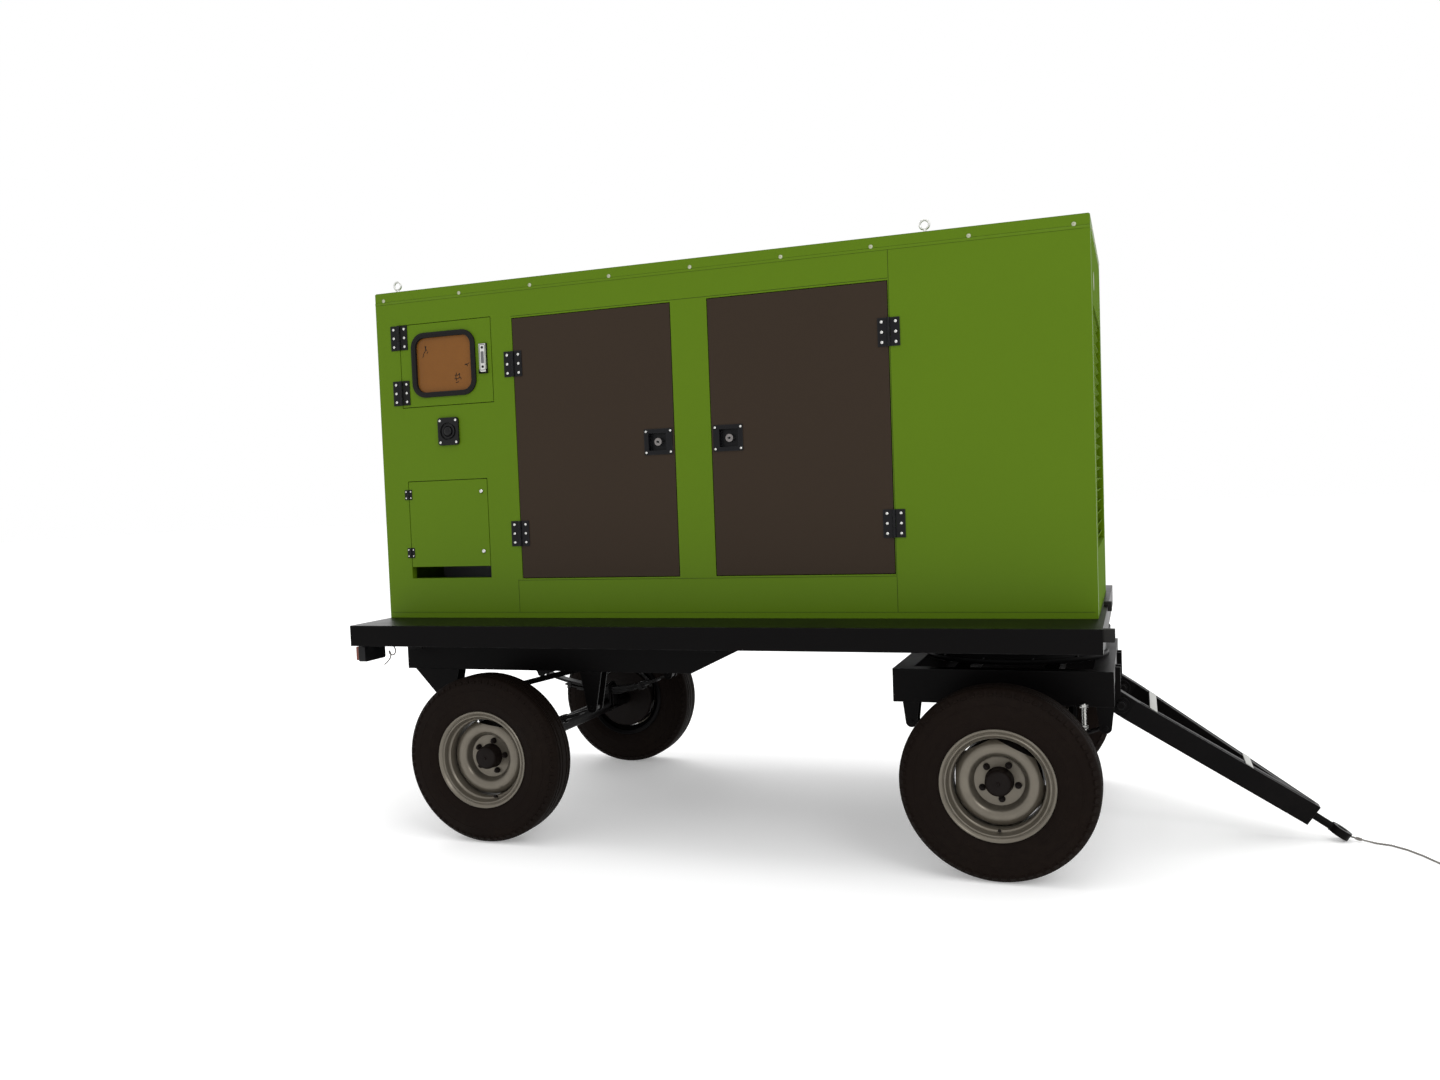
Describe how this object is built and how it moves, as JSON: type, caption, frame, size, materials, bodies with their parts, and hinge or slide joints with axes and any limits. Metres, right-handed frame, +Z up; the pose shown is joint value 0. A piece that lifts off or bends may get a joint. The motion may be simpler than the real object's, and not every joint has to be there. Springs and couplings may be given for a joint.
{
  "type": "towable diesel generator",
  "caption": "Silenced box canopy with hinged service doors on a wide flat deck, carried by a steered four-wheel trailer with a turntable and a lowered A-frame drawbar.",
  "frame": {"origin": "on the ground, on the centre plane, midway between the tail lamps' rear faces and the tip of the lowered tow eye", "axes": "+X forward towards the drawbar, +Y to the left side, +Z up"},
  "size_m": [4.7375, 1.884, 2.6319],
  "materials": {
    "chassis_black": "gloss",
    "canopy_green": "satin",
    "door_brown": "satin",
    "hinge_black": "satin",
    "seal_black": "matt",
    "black_plastic": "matt",
    "lamp_red": "gloss",
    "plated_steel": "satin",
    "engine_paint": "satin",
    "radiator_core": "satin",
    "muffler_steel": "satin",
    "rubber": "matt",
    "cabinet_grey": "satin",
    "pulley_iron": "satin",
    "window_tan": "gloss",
    "spring_steel": "satin",
    "tyre": "matt",
    "rim_silver": "satin"
  },
  "bodies": {
    "chassis": {"deck_frame": "chassis_black", "rear_subframe": "chassis_black", "turntable_upper_ring": "chassis_black", "tail_lights": "lamp_red", "base_tank": "chassis_black", "canopy_side_right": "canopy_green", "canopy_side_left": "canopy_green", "canopy_front": "canopy_green", "canopy_rear": "canopy_green", "canopy_roof": "canopy_green", "lifting_eyes": "plated_steel", "fixed_hinge_leaves": "hinge_black", "stop_button_bezel": "black_plastic", "engine_block": "engine_paint", "cylinder_head": "engine_paint", "alternator": "engine_paint", "radiator": "radiator_core", "muffler": "muffler_steel", "air_cleaner": "black_plastic", "battery": "black_plastic", "rubber_mounts": "rubber", "control_cabinet": "cabinet_grey", "rear_leaf_springs": "spring_steel"},
    "bogie": {"bogie_frame": "chassis_black", "turntable_lower_ring": "chassis_black", "front_leaf_springs": "spring_steel"},
    "front_axle": {"front_axle": "chassis_black"},
    "rear_axle": {"rear_axle": "chassis_black"},
    "drawbar": {"drawbar": "chassis_black", "tow_eye": "chassis_black", "tow_rope": "plated_steel"},
    "wheel_front_right": {"tyre_front_right": "tyre", "rim_front_right": "rim_silver"},
    "wheel_front_left": {"tyre_front_left": "tyre", "rim_front_left": "rim_silver"},
    "wheel_rear_right": {"tyre_rear_right": "tyre", "rim_rear_right": "rim_silver"},
    "wheel_rear_left": {"tyre_rear_left": "tyre", "rim_rear_left": "rim_silver"},
    "door_right_rear": {"door_right_rear": "door_brown", "hardware_right_rear": "hinge_black"},
    "latch_right_rear": {"latch_right_rear": "plated_steel"},
    "door_right_front": {"door_right_front": "door_brown", "hardware_right_front": "hinge_black"},
    "latch_right_front": {"latch_right_front": "plated_steel"},
    "door_left_rear": {"door_left_rear": "door_brown", "hardware_left_rear": "hinge_black"},
    "latch_left_rear": {"latch_left_rear": "plated_steel"},
    "door_left_front": {"door_left_front": "door_brown", "hardware_left_front": "hinge_black"},
    "latch_left_front": {"latch_left_front": "plated_steel"},
    "control_door": {"control_door": "canopy_green", "control_window": "window_tan", "control_door_hardware": "seal_black"},
    "control_latch": {"control_latch": "plated_steel"},
    "outlet_door": {"outlet_door": "canopy_green", "outlet_door_hardware": "hinge_black"},
    "stop_button": {"stop_button": "black_plastic"},
    "cooling_fan": {"cooling_fan": "black_plastic"},
    "crank_pulley": {"crank_pulley": "pulley_iron"}
  },
  "joints": [
    {"name": "bogie_steer", "type": "hinge", "parent": "chassis", "child": "bogie", "pos_m": [0.81305, 0, 0.83], "axis": [0, 0, 1], "range_deg": [-45, 45]},
    {"name": "drawbar_lift", "type": "hinge", "parent": "bogie", "child": "drawbar", "pos_m": [1.25305, 0, 0.59], "axis": [0, -1, 0], "range_deg": [0, 53]},
    {"name": "front_axle_travel", "type": "slide", "parent": "bogie", "child": "front_axle", "axis": [0, 0, 1], "range_m": [-0.03, 0.045], "stiffness_N_per_m": 140000, "springref_m": -0.07, "deforming": ["front_leaf_springs"]},
    {"name": "rear_axle_travel", "type": "slide", "parent": "chassis", "child": "rear_axle", "axis": [0, 0, 1], "range_m": [-0.03, 0.045], "stiffness_N_per_m": 140000, "springref_m": -0.07, "deforming": ["rear_leaf_springs"]},
    {"name": "wheel_front_right_spin", "type": "hinge", "parent": "front_axle", "child": "wheel_front_right", "pos_m": [0.81305, -0.839, 0.38], "axis": [0, 1, 0], "continuous": true},
    {"name": "wheel_front_left_spin", "type": "hinge", "parent": "front_axle", "child": "wheel_front_left", "pos_m": [0.81305, 0.839, 0.38], "axis": [0, 1, 0], "continuous": true},
    {"name": "wheel_rear_right_spin", "type": "hinge", "parent": "rear_axle", "child": "wheel_rear_right", "pos_m": [-1.44095, -0.839, 0.38], "axis": [0, 1, 0], "continuous": true},
    {"name": "wheel_rear_left_spin", "type": "hinge", "parent": "rear_axle", "child": "wheel_rear_left", "pos_m": [-1.44095, 0.839, 0.38], "axis": [0, 1, 0], "continuous": true},
    {"name": "door_right_rear_hinge", "type": "hinge", "parent": "chassis", "child": "door_right_rear", "pos_m": [-1.35695, -0.607, 1.784], "axis": [0, 0, -1], "range_deg": [0, 110]},
    {"name": "latch_right_rear_turn", "type": "hinge", "parent": "door_right_rear", "child": "latch_right_rear", "pos_m": [-0.64895, -0.575, 1.781], "axis": [0, -1, 0], "range_deg": [0, 90]},
    {"name": "door_right_front_hinge", "type": "hinge", "parent": "chassis", "child": "door_right_front", "pos_m": [0.39305, -0.607, 1.784], "axis": [0, 0, 1], "range_deg": [0, 110]},
    {"name": "latch_right_front_turn", "type": "hinge", "parent": "door_right_front", "child": "latch_right_front", "pos_m": [-0.31495, -0.575, 1.781], "axis": [0, 1, 0], "range_deg": [0, 90]},
    {"name": "door_left_rear_hinge", "type": "hinge", "parent": "chassis", "child": "door_left_rear", "pos_m": [-1.35695, 0.607, 1.784], "axis": [0, 0, 1], "range_deg": [0, 110]},
    {"name": "latch_left_rear_turn", "type": "hinge", "parent": "door_left_rear", "child": "latch_left_rear", "pos_m": [-0.64895, 0.575, 1.781], "axis": [0, -1, 0], "range_deg": [0, 90]},
    {"name": "door_left_front_hinge", "type": "hinge", "parent": "chassis", "child": "door_left_front", "pos_m": [0.39305, 0.607, 1.784], "axis": [0, 0, -1], "range_deg": [0, 110]},
    {"name": "latch_left_front_turn", "type": "hinge", "parent": "door_left_front", "child": "latch_left_front", "pos_m": [-0.31495, 0.575, 1.781], "axis": [0, 1, 0], "range_deg": [0, 90]},
    {"name": "control_door_hinge", "type": "hinge", "parent": "chassis", "child": "control_door", "pos_m": [-1.96995, -0.607, 2.216], "axis": [0, 0, -1], "range_deg": [0, 110]},
    {"name": "control_latch_lift", "type": "hinge", "parent": "control_door", "child": "control_latch", "pos_m": [-1.51195, -0.6077, 2.158], "axis": [1, 0, 0], "range_deg": [0, 60]},
    {"name": "outlet_door_hinge", "type": "hinge", "parent": "chassis", "child": "outlet_door", "pos_m": [-1.96095, -0.604, 1.4485], "axis": [0, 0, -1], "range_deg": [0, 110]},
    {"name": "stop_button_press", "type": "slide", "parent": "chassis", "child": "stop_button", "axis": [0, 1, 0], "range_m": [0, 0.006], "stiffness_N_per_m": 900},
    {"name": "fan_spin", "type": "hinge", "parent": "chassis", "child": "cooling_fan", "pos_m": [0.32305, 0, 1.84], "axis": [1, 0, 0], "continuous": true},
    {"name": "crank_spin", "type": "hinge", "parent": "chassis", "child": "crank_pulley", "pos_m": [0.32305, 0, 1.56], "axis": [1, 0, 0], "continuous": true}
  ],
  "couplings": [
    {"joint": "crank_spin", "follows": "fan_spin", "ratio": 0.75}
  ]
}
